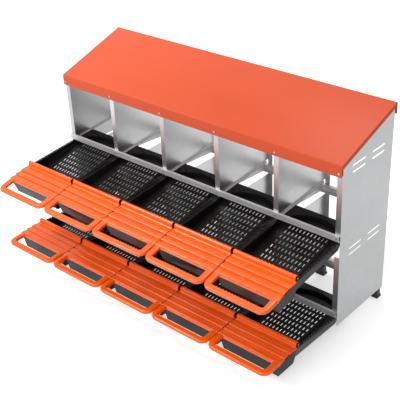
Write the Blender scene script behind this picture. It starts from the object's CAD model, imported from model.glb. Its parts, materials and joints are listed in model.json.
"""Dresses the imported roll-out nest box: folded roof, galvanised cabinet, moulded trays and stepped lids."""

import json
import math

import bmesh
import bpy
from bpy.props import FloatProperty, FloatVectorProperty, IntProperty, PointerProperty
from mathutils import Matrix, Vector


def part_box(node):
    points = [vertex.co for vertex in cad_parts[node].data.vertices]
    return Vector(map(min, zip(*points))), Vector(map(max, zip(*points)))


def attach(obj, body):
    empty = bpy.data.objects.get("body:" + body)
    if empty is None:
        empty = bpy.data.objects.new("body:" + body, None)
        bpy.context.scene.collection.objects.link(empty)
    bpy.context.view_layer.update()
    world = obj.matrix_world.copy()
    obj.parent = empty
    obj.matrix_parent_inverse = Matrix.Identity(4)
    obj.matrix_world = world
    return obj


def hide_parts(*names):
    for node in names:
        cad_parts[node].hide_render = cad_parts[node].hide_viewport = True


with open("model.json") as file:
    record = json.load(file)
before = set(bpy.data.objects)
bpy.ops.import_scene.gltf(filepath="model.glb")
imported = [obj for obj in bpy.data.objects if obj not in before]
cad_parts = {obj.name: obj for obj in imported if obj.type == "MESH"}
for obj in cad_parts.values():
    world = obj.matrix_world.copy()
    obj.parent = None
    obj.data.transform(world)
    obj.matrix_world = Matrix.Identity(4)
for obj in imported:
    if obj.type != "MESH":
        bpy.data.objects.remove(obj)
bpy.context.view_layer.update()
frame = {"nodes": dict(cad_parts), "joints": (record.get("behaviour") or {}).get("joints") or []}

bl_info = {
    "name": "Roll-out Nest Box",
    "version": (1, 0, 0),
    "blender": (4, 5, 0),
    "location": "View3D > Sidebar > Nest Box",
    "description": "Builds the visible pieces of a two-row roll-out nest box round its CAD frame",
    "category": "Object",
}

JOINTS = {joint["name"]: joint for joint in frame["joints"]}
TIERS = ("upper", "lower")
NESTS = sum(name.startswith("upper_lid_hinge") for name in JOINTS)
NEST_PLACES = [(tier, i) for tier in TIERS for i in range(1, NESTS + 1)]
PANEL_NODES = ["left_panel", "right_panel"]
DIVIDER_NODES = [f"{tier}_divider_{i}" for tier in TIERS for i in range(1, NESTS)]
RAIL_NODES = ["upper_front_rail", "lower_front_rail", "upper_rear_rail", "lower_rear_rail"]
FASTENER_NODES = ["cabinet_screws", "runner_rivets"]

# Angles from which an edge is shaded sharp and is rounded, and the reach of a weld
SHARP_ANGLE = math.radians(35.0)
BEVEL_ANGLE = math.radians(40.0)
WELD_DISTANCE = 0.00001

# Points along a lid's section, by degrees of turn or by share of a width
TREAD_POINTS = 8
NOSE_TURN = range(105, -1, -15)
RIDGE_TURN = range(250, 15, -15)
FILLET_TURN = range(0, 91, 15)
GROOVE_SHARES = (0.2, 0.7)
# Least distance between the plate's inside and the back of its lip
LEAST_GAP = 0.0005

# Facets of the handle's bar, its corners, the ridge's humps and the roof's folds
BAR_FACETS = 24
CORNER_STEPS = 8
HUMP_FACETS = 24
FOLD_STEPS = 3

# Shares of the bar's width, run and height that are left at the tips of its tails
TAIL_TAPER = Matrix.Diagonal((0.8, 1.0, 0.45))

# Shares of a foot's height, width and depth, and of a rib's thickness that bites into the sole and head
SOLE_SHARE, HEAD_SHARE, RIM_SHARE = 0.18, 0.88, 0.94
BODY_FOOT, BODY_TOP = (0.84, 0.8), (0.74, 0.7)
RIB_PLACES, RIB_FOOT, RIB_TOP = (-0.3, 0.0, 0.3), 0.93, 0.86
RIB_BITE = 0.25

# Range of a noise that the finishes use, and the height of their grain
NOISE_LOW, NOISE_HIGH = 0.3, 0.7
GRAIN_HEIGHT = 0.0004
STEEL_NAME = "Plated steel"

# Light, floor and camera
WHITE = (1.0, 1.0, 1.0, 1.0)
WORLD_LIGHT, WORLD_SEEN = 0.42, 1.0
FLOOR_REACH, FLOOR_TONE, FLOOR_ROUGHNESS, FLOOR_GLOW = 30.0, 0.74, 0.9, 0.58
LAMPS = (
    {"name": "Key", "place": (-2.6, -1.4, 4.0), "aim": (0.0, 0.0, 0.3), "size": 1.5, "power": 125.0},
    {"name": "Fill", "place": (0.4, -4.0, 3.0), "aim": (0.0, 0.0, 0.1), "size": 2.6, "power": 92.0},
    {"name": "Top", "place": (-0.2, 1.2, 4.2), "aim": (0.0, 0.0, 0.5), "size": 1.5, "power": 38.0},
)
CAMERA_YAW, CAMERA_PITCH, CAMERA_ROLL = 0.739999, -0.527272, -0.049003
CAMERA_SENSOR, CAMERA_LENS = 36.0, 79.297
# Place of the camera from the cabinet's middle, at the front and foot of its side panels
CAMERA_PLACE = (2.279181, -2.442739, 2.271159)


# Sizes and colours


def length(name, description, default):
    """A length property in metres."""
    return FloatProperty(name=name, description=description, default=default, min=0.0, unit="LENGTH")


def colour(name, description, default):
    """A colour property, linear RGB."""
    return FloatVectorProperty(
        name=name, description=description, default=default, size=3, min=0.0, max=1.0, subtype="COLOR"
    )


class NestBoxSettings(bpy.types.PropertyGroup):
    """Sizes of the dressed pieces and colours of their finishes."""

    lid_half_width: length("Lid half width", "Half the width of a lid's plate", 0.151)
    lid_slope: FloatProperty(
        name="Lid slope", description="Fall of the closed lid below the rims",
        default=math.radians(7.2), subtype="ANGLE",
    )
    lid_edge: length("Lid edge", "Rounding of a lid's edges", 0.0006)
    ridge_half_width: length("Ridge half width", "Half the width of the lid's hinge ridge", 0.1462)
    ridge_radius: length("Ridge radius", "Radius of the lid's hinge ridge", 0.01)
    fillet_reach: length("Fillet reach", "Reach of the hollow fillet in front of the ridge", 0.007)
    hump_radius: length("Hump radius", "Radius of the humps at the ridge's ends", 0.0105)
    hump_length: length("Hump length", "Length of the humps at the ridge's ends", 0.0192)
    plate_start: length("Plate start", "Distance from the hinge to the plate's square corners", 0.01)
    plate_length: length("Plate length", "Distance from the hinge to the plate's front edge", 0.126)
    plate_drop: length("Plate drop", "Depth of the plate's top face below the hinge", 0.0085)
    plate_thickness: length("Plate thickness", "Thickness of the lid's plate", 0.0035)
    step_count: IntProperty(name="Steps", description="Steps across the lid's plate", default=3, min=1)
    step_first: length("First step", "Distance from the hinge to the first step's nose", 0.051)
    step_pitch: length("Step pitch", "Distance between noses", 0.034)
    step_height: length("Step height", "Height and rounding of a step's nose", 0.005)
    step_bow: length("Step bow", "Radius of the bowed tread behind a nose", 0.085)
    step_bead: length("Step bead", "Height of a nose above its tread", 0.0004)
    groove_width: length("Groove width", "Width of the groove at a step's foot", 0.0034)
    groove_depth: length("Groove depth", "Depth of that groove", 0.0028)
    lip_depth: length("Lip depth", "Depth of the lip at the plate's front edge", 0.01)
    lip_thickness: length("Lip thickness", "Thickness of that lip", 0.004)
    handle_reach: length("Handle reach", "Distance from the hinge to the handle's front", 0.206)
    handle_half_width: length("Handle half width", "Half the outer width of the handle", 0.15)
    handle_drop: length("Handle drop", "Depth of the handle's top face below the hinge", 0.004)
    handle_corner: length("Handle corner", "Radius of the handle's corners at the bar's middle", 0.022)
    handle_root: length("Handle root", "Length of the handle's full sides under the plate", 0.014)
    handle_tail: length("Handle tail", "Length of the tapered tails behind them", 0.0224)
    bar_width: length("Bar width", "Width of the handle's bar", 0.028)
    bar_height: length("Bar height", "Height of the handle's bar", 0.017)
    bar_round: length("Bar rounding", "Rounding of the bar's edges", 0.007)
    tray_edge: length("Tray edge", "Rounding of a tray's edges", 0.001)
    floor_edge: length("Floor edge", "Rounding of a floor panel's edges", 0.0006)
    roof_sheet: length("Roof sheet", "Thickness of the roof sheet", 0.0012)
    roof_front_lip: length("Front lip", "Height of the roof's front lip", 0.049)
    roof_side_lip: length("Side lip", "Height of the roof's side lips", 0.018)
    roof_back_lip: length("Back lip", "Height of the roof's back lip", 0.05)
    roof_fold: length("Roof fold", "Radius of the roof's folds", 0.003)
    rail_edge: length("Rail edge", "Rounding of the rails' and runners' edges", 0.0004)
    foot_width: length("Foot width", "Width of a rear foot", 0.045)
    pad_width: length("Pad width", "Width of a front pad", 0.017)
    foot_rib: length("Foot rib", "Thickness of the ribs on a rear foot", 0.004)
    foot_edge: length("Foot edge", "Rounding of the feet's edges", 0.0012)
    head_edge: length("Head edge", "Rounding of the screw and rivet heads", 0.0012)
    roof_colour: colour("Roof", "Powder coat of the roof", (0.62, 0.082, 0.026))
    lid_colour: colour("Lids", "Orange plastic of the lids", (0.95, 0.112, 0.001))
    tray_colour: colour("Trays", "Black plastic of the trays", (0.0065, 0.0058, 0.006))
    foot_colour: colour("Feet", "Black plastic of the feet", (0.01, 0.01, 0.01))
    panel_colour: colour("Galvanised panels", "Zinc of the side panels", (0.45, 0.455, 0.46))
    zinc_colour: colour("Galvanised dividers", "Zinc of the dividers", (0.6, 0.605, 0.61))
    rail_colour: colour("Galvanised rails", "Zinc of the rails", (0.6, 0.605, 0.61))
    runner_colour: colour("Tray runners", "Pale zinc of the tray runners", (0.78, 0.782, 0.786))
    steel_colour: colour("Fasteners", "Plated steel of the screws, rivets and pins", (0.5, 0.5, 0.51))


# Materials


def new_material(name):
    """A node material and its principled shader."""
    material = bpy.data.materials.new(name)
    material.use_nodes = True
    return material, material.node_tree.nodes["Principled BSDF"]


def add_node(material, kind, **values):
    """Adds a node and sets its inputs and properties by name."""
    node = material.node_tree.nodes.new(kind)
    for key, value in values.items():
        socket = key.replace("_", " ").title()
        if socket in node.inputs:
            node.inputs[socket].default_value = value
        else:
            setattr(node, key, value)
    return node


def join(material, source, target):
    """Links an output socket to an input socket."""
    material.node_tree.links.new(source, target)


def object_noise(material, scale, detail, stretch=(1.0, 1.0, 1.0)):
    """A noise texture's factor on Object coordinates, stretched along the axes."""
    coordinates = add_node(material, "ShaderNodeTexCoord")
    mapping = add_node(material, "ShaderNodeMapping", scale=stretch)
    noise = add_node(material, "ShaderNodeTexNoise", scale=scale, detail=detail)
    join(material, coordinates.outputs["Object"], mapping.inputs["Vector"])
    join(material, mapping.outputs["Vector"], noise.inputs["Vector"])
    return noise.outputs["Fac"]


def vary_colour(material, shader, factor, base, spread):
    """Varies the base colour between a darker and a lighter shade by a factor."""
    ramp = add_node(material, "ShaderNodeValToRGB")
    ends = ((NOISE_LOW, 1.0 - spread), (NOISE_HIGH, 1.0 + spread))
    for element, (position, gain) in zip(ramp.color_ramp.elements, ends):
        element.position = position
        element.color = [min(1.0, channel * gain) for channel in base] + [1.0]
    join(material, factor, ramp.inputs["Fac"])
    join(material, ramp.outputs["Color"], shader.inputs["Base Color"])


def vary_roughness(material, shader, factor, low, high):
    """Maps a factor to the shader's roughness."""
    spread = add_node(
        material, "ShaderNodeMapRange", from_min=NOISE_LOW, from_max=NOISE_HIGH, to_min=low, to_max=high
    )
    join(material, factor, spread.inputs["Value"])
    join(material, spread.outputs["Result"], shader.inputs["Roughness"])


def add_grain(material, shader, height, strength):
    """Raises the surface a little by a height texture."""
    bump = add_node(material, "ShaderNodeBump", strength=strength, distance=GRAIN_HEIGHT)
    join(material, height, bump.inputs["Height"])
    join(material, bump.outputs["Normal"], shader.inputs["Normal"])


def powder_coat(name, base):
    """Smooth paint with faint orange peel and slow drifts in tone."""
    material, shader = new_material(name)
    drift = object_noise(material, scale=2.2, detail=3.0, stretch=(0.5, 1.6, 1.0))
    peel = object_noise(material, scale=420.0, detail=1.0)
    vary_colour(material, shader, drift, base, spread=0.05)
    vary_roughness(material, shader, drift, low=0.3, high=0.42)
    add_grain(material, shader, peel, strength=0.05)
    shader.inputs["Specular IOR Level"].default_value = 0.22
    return material


def galvanised(name, base, rough, metal, spangle=70.0):
    """Smooth zinc with a faint crystal spangle and rolling streaks."""
    material, shader = new_material(name)
    coordinates = add_node(material, "ShaderNodeTexCoord")
    crystals = add_node(material, "ShaderNodeTexVoronoi", scale=spangle)
    join(material, coordinates.outputs["Object"], crystals.inputs["Vector"])
    tone = add_node(material, "ShaderNodeSeparateColor")
    join(material, crystals.outputs["Color"], tone.inputs["Color"])
    streaks = object_noise(material, scale=7.0, detail=4.0, stretch=(1.0, 0.25, 3.0))
    mix = add_node(material, "ShaderNodeMix", data_type="FLOAT", factor=0.6)
    join(material, tone.outputs["Red"], mix.inputs["A"])
    join(material, streaks, mix.inputs["B"])
    vary_colour(material, shader, mix.outputs["Result"], base, spread=0.025)
    vary_roughness(material, shader, streaks, low=rough - 0.05, high=rough + 0.05)
    shader.inputs["Metallic"].default_value = metal
    return material


def moulded_plastic(name, base, rough, grain, spread, shine):
    """Moulded plastic with a fine grain, soft changes of gloss and small drifts in tone."""
    material, shader = new_material(name)
    drift = object_noise(material, scale=14.0, detail=3.0)
    texture = object_noise(material, scale=900.0, detail=1.0)
    vary_colour(material, shader, drift, base, spread)
    vary_roughness(material, shader, drift, low=rough - 0.06, high=rough + 0.06)
    add_grain(material, shader, texture, strength=grain)
    shader.inputs["Specular IOR Level"].default_value = shine
    return material


def plated_steel(base):
    """Zinc-plated steel with a brushed tone, made once for the pins, screws and rivets."""
    if STEEL_NAME in bpy.data.materials:
        return bpy.data.materials[STEEL_NAME]
    material, shader = new_material(STEEL_NAME)
    brush = object_noise(material, scale=260.0, detail=2.0, stretch=(1.0, 1.0, 0.2))
    vary_colour(material, shader, brush, base, spread=0.1)
    vary_roughness(material, shader, brush, low=0.25, high=0.42)
    shader.inputs["Metallic"].default_value = 1.0
    return material


# Meshes


def place_piece(name, bm, material, body, node):
    """Makes a mesh object at the origin that rides on a CAD body and stands for a CAD node."""
    mesh = bpy.data.meshes.new(name)
    bm.to_mesh(mesh)
    bm.free()
    mesh.shade_smooth()
    mesh.set_sharp_from_angle(angle=SHARP_ANGLE)
    mesh.materials.append(material)
    piece = bpy.data.objects.new(name, mesh)
    bpy.context.scene.collection.objects.link(piece)
    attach(piece, body)
    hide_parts(node)
    return piece


def round_edges(piece, width, segments=2):
    """Rounds a piece's sharp edges with a live modifier."""
    bevel = piece.modifiers.new("Rounded edges", "BEVEL")
    bevel.width, bevel.segments = width, segments
    bevel.limit_method, bevel.angle_limit = "ANGLE", BEVEL_ANGLE
    bevel.harden_normals = True


def dress_node(name, material, edge=0.0, segments=2):
    """Gives a CAD node its finish and, where an edge is given, welds it and rounds its edges."""
    node = frame["nodes"][name]
    node.data.materials.clear()
    node.data.materials.append(material)
    if edge:
        node.modifiers.new("Weld", "WELD").merge_threshold = WELD_DISTANCE
        round_edges(node, edge, segments)


def vertices_of(geometry):
    """The vertices among the parts that an operator made."""
    return [part for part in geometry if isinstance(part, bmesh.types.BMVert)]


def ring_edges(vertices):
    """The edges that join a ring's own vertices."""
    ring = set(vertices)
    return list({edge for vertex in ring for edge in vertex.link_edges if set(edge.verts) <= ring})


def extrude_edges(bm, edges, shift):
    """Extrudes edges by a shift and returns the new vertices."""
    new = vertices_of(bmesh.ops.extrude_edge_only(bm, edges=edges)["geom"])
    bmesh.ops.translate(bm, verts=new, vec=shift)
    return new


def extrude_ring(bm, vertices, shift):
    """Extrudes a ring of edges by a shift and returns the new ring."""
    return extrude_edges(bm, ring_edges(vertices), shift)


def spin_ring(bm, vertices, centre):
    """Spins a ring of edges a quarter turn about a vertical axis and returns the last ring."""
    made = bmesh.ops.spin(
        bm, geom=vertices + ring_edges(vertices), cent=centre, axis=(0, 0, 1), angle=math.pi / 2,
        steps=CORNER_STEPS,
    )
    return vertices_of(made["geom_last"])


def scale_ring(bm, vertices, centre, matrix):
    """Scales a ring about a centre."""
    about = Matrix.Translation(centre) @ matrix.to_4x4() @ Matrix.Translation(-centre)
    bmesh.ops.transform(bm, verts=vertices, matrix=about)


def section_solid(bm, outline, half_width):
    """Extrudes a closed outline of (forward, up) points across the width."""
    face = bm.faces.new([bm.verts.new((-half_width, -forward, up)) for forward, up in outline])
    moved = vertices_of(bmesh.ops.extrude_face_region(bm, geom=[face])["geom"])
    bmesh.ops.translate(bm, verts=moved, vec=(2.0 * half_width, 0.0, 0.0))


def on_circle(radius, degrees):
    """A (forward, up) point on a circle round the origin."""
    turn = math.radians(degrees)
    return radius * math.cos(turn), radius * math.sin(turn)


def tray_matrix(tier, i):
    """Frame of a tray: its origin is on the lid's hinge and local -Y runs forward along the rims."""
    axis = JOINTS[f"{tier}_tray_slide_{i}"]["axis"]
    tilt = math.atan2(axis[2], axis[1])
    hinge = Vector(JOINTS[f"{tier}_lid_hinge_{i}"]["pos_m"])
    return Matrix.Translation(hinge) @ Matrix.Rotation(tilt, 4, "X")


# Lids


def step_line(s, lift):
    """Points over the plate's steps, from the hinge forwards, on a line lifted from its top face."""
    crown = s.step_height - s.step_bead
    first_reach = math.sqrt(2.0 * s.step_bow * crown - crown**2)
    level = lift - s.plate_drop
    points = []
    for i in range(s.step_count):
        nose = s.step_first + i * s.step_pitch
        foot = nose + s.step_height
        reach = s.step_pitch - s.step_height - s.groove_width if i else first_reach
        for k in range(TREAD_POINTS, 0, -1):
            back = reach * k / TREAD_POINTS
            rise = crown - s.step_bow + math.sqrt(s.step_bow**2 - back**2)
            points.append((nose - back, level + rise))
        for forward, up in (on_circle(s.step_height, degrees) for degrees in NOSE_TURN):
            points.append((nose + forward, level + up))
        for share in GROOVE_SHARES if i < s.step_count - 1 else ():
            points.append((foot + share * s.groove_width, level - s.groove_depth))
    return points


def plate_outline(s):
    """Section of the stepped plate: a thin wall that follows the steps, with a lip at the front."""
    top = -s.plate_drop
    bottom = top - s.plate_thickness
    front, back = s.plate_length, s.plate_length - s.lip_thickness
    foot = top - s.lip_depth
    upper = [(s.plate_start, top)] + step_line(s, 0.0) + [(front, top), (front, foot), (back, foot)]
    inside = step_line(s, -s.plate_thickness)
    lower = [(forward, max(up, bottom)) for forward, up in inside if forward < back - LEAST_GAP]
    return upper + lower[::-1] + [(s.plate_start, bottom)]


def ridge_outline(s):
    """Section of the hinge ridge: a round back, a steep front and a hollow fillet down to the plate."""
    top = -s.plate_drop
    under = top - s.plate_thickness
    back = [on_circle(s.ridge_radius, degrees) for degrees in RIDGE_TURN]
    fillet = [
        (s.ridge_radius + s.fillet_reach * (1.0 - across), top * down)
        for across, down in (on_circle(1.0, degrees) for degrees in FILLET_TURN)
    ]
    return back + fillet + [(fillet[-1][0], under), (0.0, under)]


def bar_ring(bm, s):
    """A ring of the bar's rounded section, upright and facing along Y, at the origin."""
    ring = bmesh.ops.create_circle(bm, segments=BAR_FACETS, radius=s.bar_round)["verts"]
    bmesh.ops.rotate(bm, verts=ring, matrix=Matrix.Rotation(math.pi / BAR_FACETS, 3, "Z"))
    for vertex in ring:
        vertex.co.x += math.copysign(s.bar_width / 2 - s.bar_round, vertex.co.x)
        vertex.co.y += math.copysign(s.bar_height / 2 - s.bar_round, vertex.co.y)
    bmesh.ops.rotate(bm, verts=ring, matrix=Matrix.Rotation(math.pi / 2, 3, "X"))
    return ring


def add_handle(bm, s):
    """The handle loop: one rounded bar swept round from side to side, with tapered tails under the plate."""
    side_x = s.handle_half_width - s.bar_width / 2
    corner_x = side_x - s.handle_corner
    corner_y = s.handle_reach - s.bar_width / 2 - s.handle_corner
    root = s.plate_length - s.handle_root
    middle = -s.handle_drop - s.bar_height / 2
    first = bar_ring(bm, s)
    start = Vector((-side_x, s.handle_tail - root, middle))
    bmesh.ops.translate(bm, verts=first, vec=start)
    scale_ring(bm, first, start, TAIL_TAPER)
    ring = extrude_ring(bm, first, (0.0, -s.handle_tail, 0.0))
    scale_ring(bm, ring, Vector((-side_x, -root, middle)), TAIL_TAPER.inverted())
    ring = extrude_ring(bm, ring, (0.0, root - corner_y, 0.0))
    ring = spin_ring(bm, ring, (-corner_x, -corner_y, middle))
    ring = extrude_ring(bm, ring, (2.0 * corner_x, 0.0, 0.0))
    ring = spin_ring(bm, ring, (corner_x, -corner_y, middle))
    ring = extrude_ring(bm, ring, (0.0, corner_y - root, 0.0))
    last = extrude_ring(bm, ring, (0.0, s.handle_tail, 0.0))
    scale_ring(bm, last, Vector((side_x, s.handle_tail - root, middle)), TAIL_TAPER)
    for end in (first, last):
        bmesh.ops.contextual_create(bm, geom=ring_edges(end))


def add_humps(bm, s):
    """Rounded humps at the ends of the ridge, round the pin."""
    for side in (-1, 1):
        hump = bmesh.ops.create_cone(
            bm, cap_ends=True, segments=HUMP_FACETS, radius1=s.hump_radius, radius2=s.hump_radius,
            depth=s.hump_length, matrix=Matrix.Rotation(math.pi / 2, 4, "Y"),
        )["verts"]
        middle = side * (s.ridge_half_width - s.hump_length / 2)
        bmesh.ops.translate(bm, verts=hump, vec=(middle, 0.0, 0.0))


def lid_mesh(s):
    """A closed lid in its own frame: the origin is on the hinge and -Y runs forward."""
    bm = bmesh.new()
    section_solid(bm, plate_outline(s), s.lid_half_width)
    section_solid(bm, ridge_outline(s), s.ridge_half_width)
    add_handle(bm, s)
    add_humps(bm, s)
    bmesh.ops.recalc_face_normals(bm, faces=bm.faces)
    return bm


class NESTBOX_OT_lids(bpy.types.Operator):
    """Build the orange stepped lids with their handle loops"""

    bl_idname = "nestbox.lids"
    bl_label = "Lids"

    def execute(self, context):
        s = context.scene.nest_box
        plastic = moulded_plastic(
            "Orange moulded plastic", s.lid_colour, rough=0.2, grain=0.03, spread=0.03, shine=0.5
        )
        slope = Matrix.Rotation(s.lid_slope, 4, "X")
        for tier, i in NEST_PLACES:
            bm = lid_mesh(s)
            bmesh.ops.transform(bm, verts=bm.verts, matrix=tray_matrix(tier, i) @ slope)
            name, body, node = f"{tier}_stepped_lid_{i}", f"{tier}_lid_body_{i}", f"{tier}_lid_{i}"
            lid = place_piece(name, bm, plastic, body, node)
            round_edges(lid, s.lid_edge)
        return {"FINISHED"}


# Trays


class NESTBOX_OT_trays(bpy.types.Operator):
    """Finish the black trays, their perforated floors and the hinge pins"""

    bl_idname = "nestbox.trays"
    bl_label = "Trays"

    def execute(self, context):
        s = context.scene.nest_box
        plastic = moulded_plastic(
            "Black moulded plastic", s.tray_colour, rough=0.32, grain=0.05, spread=0.2, shine=0.16
        )
        steel = plated_steel(s.steel_colour)
        for tier, i in NEST_PLACES:
            dress_node(f"{tier}_tray_{i}", plastic, s.tray_edge)
            dress_node(f"{tier}_floor_{i}", plastic, s.floor_edge, segments=1)
            dress_node(f"{tier}_lid_pin_{i}", steel)
        return {"FINISHED"}


# Roof


class NESTBOX_OT_roof(bpy.types.Operator):
    """Build the folded roof sheet with its lips"""

    bl_idname = "nestbox.roof"
    bl_label = "Roof"

    def execute(self, context):
        s = context.scene.nest_box
        low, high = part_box("roof")
        front_top = low.z + s.roof_front_lip
        bm = bmesh.new()
        corners = [
            (low.x, low.y, front_top), (high.x, low.y, front_top),
            (high.x, high.y, high.z), (low.x, high.y, high.z),
        ]
        top = bm.faces.new([bm.verts.new(corner) for corner in corners])
        lips = [s.roof_front_lip, s.roof_side_lip, s.roof_back_lip, s.roof_side_lip]
        folds = list(top.edges)
        for edge, drop in zip(folds, lips):
            extrude_edges(bm, [edge], (0.0, 0.0, -drop))
        bmesh.ops.recalc_face_normals(bm, faces=bm.faces)
        bmesh.ops.bevel(
            bm, geom=folds, offset=s.roof_fold, offset_type="OFFSET", affect="EDGES",
            segments=FOLD_STEPS, profile=0.5, material=-1,
        )
        bmesh.ops.solidify(bm, geom=bm.faces, thickness=s.roof_sheet)
        paint = powder_coat("Orange powder coat", s.roof_colour)
        place_piece("folded_roof", bm, paint, "cabinet", "roof")
        return {"FINISHED"}


# Cabinet


class NESTBOX_OT_cabinet(bpy.types.Operator):
    """Finish the galvanised panels, dividers, rails and runners"""

    bl_idname = "nestbox.cabinet"
    bl_label = "Cabinet"

    def execute(self, context):
        s = context.scene.nest_box
        panel = galvanised("Galvanised panel", s.panel_colour, rough=0.36, metal=0.95)
        divider = galvanised("Galvanised divider", s.zinc_colour, rough=0.36, metal=0.95)
        section = galvanised("Galvanised section", s.rail_colour, rough=0.44, metal=0.5, spangle=110.0)
        runner = galvanised("Galvanised runner", s.runner_colour, rough=0.44, metal=0.3, spangle=110.0)
        groups = (
            (PANEL_NODES, panel, 0.0), (DIVIDER_NODES, divider, 0.0),
            (RAIL_NODES, section, s.rail_edge), (["tray_runners"], runner, s.rail_edge),
        )
        for names, finish, edge in groups:
            for name in names:
                dress_node(name, finish, edge)
        return {"FINISHED"}


# Feet


def tapered_block(bm, centre, heights, lower, upper):
    """A block between two heights, with its own width and depth at the foot and at the top."""
    for vertex in bmesh.ops.create_cube(bm, size=1.0)["verts"]:
        size, height = (upper, heights[1]) if vertex.co.z > 0 else (lower, heights[0])
        vertex.co = (centre[0] + vertex.co.x * size[0], centre[1] + vertex.co.y * size[1], height)


def add_foot(bm, centre, size, ground, rib):
    """A moulded foot: a wide sole, a tapered body between ribs and a head plate."""
    wide, deep, tall = size
    sole, head = ground + SOLE_SHARE * tall, ground + HEAD_SHARE * tall
    bite = RIB_BITE * rib
    full, rim = (wide, deep), (wide * RIM_SHARE, deep * RIM_SHARE)
    body_foot, body_top = [(wide * across, deep * along) for across, along in (BODY_FOOT, BODY_TOP)]
    tapered_block(bm, centre, (ground, sole), full, rim)
    tapered_block(bm, centre, (sole - bite, head), body_foot, body_top)
    tapered_block(bm, centre, (head, ground + tall), rim, full)
    for share in RIB_PLACES:
        place = (centre[0] + share * wide, centre[1])
        tapered_block(bm, place, (sole - bite, head + bite), (rib, deep * RIB_FOOT), (rib, deep * RIB_TOP))


class NESTBOX_OT_feet(bpy.types.Operator):
    """Build the moulded rear feet and front pads"""

    bl_idname = "nestbox.feet"
    bl_label = "Feet"

    def execute(self, context):
        s = context.scene.nest_box
        plastic = moulded_plastic(
            "Black foot plastic", s.foot_colour, rough=0.5, grain=0.12, spread=0.2, shine=0.5
        )
        dividers = [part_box(f"lower_divider_{i}") for i in range(1, NESTS)]
        middles = [(low.x + high.x) / 2 for low, high in dividers]
        low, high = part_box("rear_feet")
        outer = [low.x + s.foot_width / 2, high.x - s.foot_width / 2]
        rear = outer + [middles[0], middles[-1]]
        for node, places, width, rib in (
            ("rear_feet", rear, s.foot_width, s.foot_rib),
            ("front_feet", middles, s.pad_width, s.foot_rib / 2),
        ):
            bm = self.feet_mesh(node, places, width, rib)
            feet = place_piece(f"moulded_{node}", bm, plastic, "cabinet", node)
            round_edges(feet, s.foot_edge)
        return {"FINISHED"}

    def feet_mesh(self, node, places, width, rib):
        low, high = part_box(node)
        size = (width, high.y - low.y, high.z - low.z)
        bm = bmesh.new()
        for x in places:
            add_foot(bm, (x, (low.y + high.y) / 2), size, low.z, rib)
        bmesh.ops.recalc_face_normals(bm, faces=bm.faces)
        return bm


# Fasteners


class NESTBOX_OT_fasteners(bpy.types.Operator):
    """Finish the screws and rivets"""

    bl_idname = "nestbox.fasteners"
    bl_label = "Fasteners"

    def execute(self, context):
        s = context.scene.nest_box
        for name in FASTENER_NODES:
            dress_node(name, plated_steel(s.steel_colour), s.head_edge, segments=4)
        return {"FINISHED"}


# Stage


def add_lamp(name, place, aim, size, power):
    """A square area lamp that points at a place."""
    data = bpy.data.lights.new(name, "AREA")
    data.shape, data.size, data.energy = "SQUARE", size, power
    lamp = bpy.data.objects.new(name, data)
    lamp.location = place
    lamp.rotation_euler = (Vector(aim) - Vector(place)).to_track_quat("-Z", "Y").to_euler()
    bpy.context.scene.collection.objects.link(lamp)


def seen_directly(owner):
    """Sum of the ray kinds that show the background: camera, glossy and transmission rays."""
    path = add_node(owner, "ShaderNodeLightPath")
    total = path.outputs["Is Camera Ray"]
    for kind in ("Is Glossy Ray", "Is Transmission Ray"):
        add = add_node(owner, "ShaderNodeMath", operation="ADD", use_clamp=True)
        join(owner, total, add.inputs[0])
        join(owner, path.outputs[kind], add.inputs[1])
        total = add.outputs[0]
    return total


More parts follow.
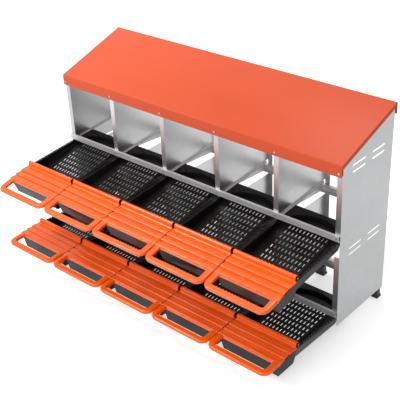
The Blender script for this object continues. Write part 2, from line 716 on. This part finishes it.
class NESTBOX_OT_stage(bpy.types.Operator):
    """Set up the pale floor, the studio light and the camera"""

    bl_idname = "nestbox.stage"
    bl_label = "Stage"

    def execute(self, context):
        scene = context.scene
        scene.view_settings.view_transform = "Standard"
        self.add_world(scene)
        self.add_floor(scene)
        for values in LAMPS:
            add_lamp(**values)
        self.add_camera(scene)
        return {"FINISHED"}

    def add_world(self, scene):
        world = bpy.data.worlds.new("Studio")
        scene.world = world
        world.use_nodes = True
        background = world.node_tree.nodes["Background"]
        background.inputs["Color"].default_value = WHITE
        strength = add_node(world, "ShaderNodeMapRange", to_min=WORLD_LIGHT, to_max=WORLD_SEEN)
        join(world, seen_directly(world), strength.inputs["Value"])
        join(world, strength.outputs["Result"], background.inputs["Strength"])

    def add_floor(self, scene):
        bm = bmesh.new()
        bmesh.ops.create_grid(bm, x_segments=1, y_segments=1, size=FLOOR_REACH)
        mesh = bpy.data.meshes.new("Floor")
        bm.to_mesh(mesh)
        bm.free()
        floor = bpy.data.objects.new("Floor", mesh)
        scene.collection.objects.link(floor)
        material, shader = new_material("Pale floor")
        shader.inputs["Base Color"].default_value = (FLOOR_TONE, FLOOR_TONE, FLOOR_TONE, 1.0)
        shader.inputs["Roughness"].default_value = FLOOR_ROUGHNESS
        shader.inputs["Emission Color"].default_value = WHITE
        glow = add_node(material, "ShaderNodeMath", operation="MULTIPLY")
        glow.inputs[1].default_value = FLOOR_GLOW
        join(material, seen_directly(material), glow.inputs[0])
        join(material, glow.outputs[0], shader.inputs["Emission Strength"])
        mesh.materials.append(material)

    def add_camera(self, scene):
        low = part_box("left_panel")[0]
        place = Vector((0.0, low.y, low.z)) + Vector(CAMERA_PLACE)
        level = Vector((math.cos(CAMERA_YAW), math.sin(CAMERA_YAW), 0.0))
        ahead = Vector((-math.sin(CAMERA_YAW), math.cos(CAMERA_YAW), 0.0))
        forward = math.cos(CAMERA_PITCH) * ahead + Vector((0.0, 0.0, math.sin(CAMERA_PITCH)))
        up = level.cross(forward)
        right = math.cos(CAMERA_ROLL) * level + math.sin(CAMERA_ROLL) * up
        up = math.cos(CAMERA_ROLL) * up - math.sin(CAMERA_ROLL) * level
        data = bpy.data.cameras.new("Photo camera")
        data.sensor_width, data.lens = CAMERA_SENSOR, CAMERA_LENS
        camera = bpy.data.objects.new("Photo camera", data)
        axes = Matrix((right, up, -forward)).transposed()
        camera.matrix_world = Matrix.Translation(place) @ axes.to_4x4()
        scene.collection.objects.link(camera)
        scene.camera = camera


# Registration


STEPS = (
    NESTBOX_OT_roof, NESTBOX_OT_cabinet, NESTBOX_OT_trays, NESTBOX_OT_lids,
    NESTBOX_OT_feet, NESTBOX_OT_fasteners, NESTBOX_OT_stage,
)


class NESTBOX_PT_panel(bpy.types.Panel):
    """Lists the steps that dress the nest box"""

    bl_label = "Nest Box"
    bl_idname = "NESTBOX_PT_panel"
    bl_space_type = "VIEW_3D"
    bl_region_type = "UI"
    bl_category = "Nest Box"

    def draw(self, context):
        for step in STEPS:
            self.layout.operator(step.bl_idname)


CLASSES = (NestBoxSettings, *STEPS, NESTBOX_PT_panel)


def register():
    for item in CLASSES:
        bpy.utils.register_class(item)
    bpy.types.Scene.nest_box = PointerProperty(type=NestBoxSettings)


def unregister():
    del bpy.types.Scene.nest_box
    for item in reversed(CLASSES):
        bpy.utils.unregister_class(item)


def main():
    """Builds every piece in order."""
    register()
    bpy.ops.nestbox.roof()
    bpy.ops.nestbox.cabinet()
    bpy.ops.nestbox.trays()
    bpy.ops.nestbox.lids()
    bpy.ops.nestbox.feet()
    bpy.ops.nestbox.fasteners()
    bpy.ops.nestbox.stage()
    bpy.context.view_layer.update()


if __name__ == "__main__":
    main()
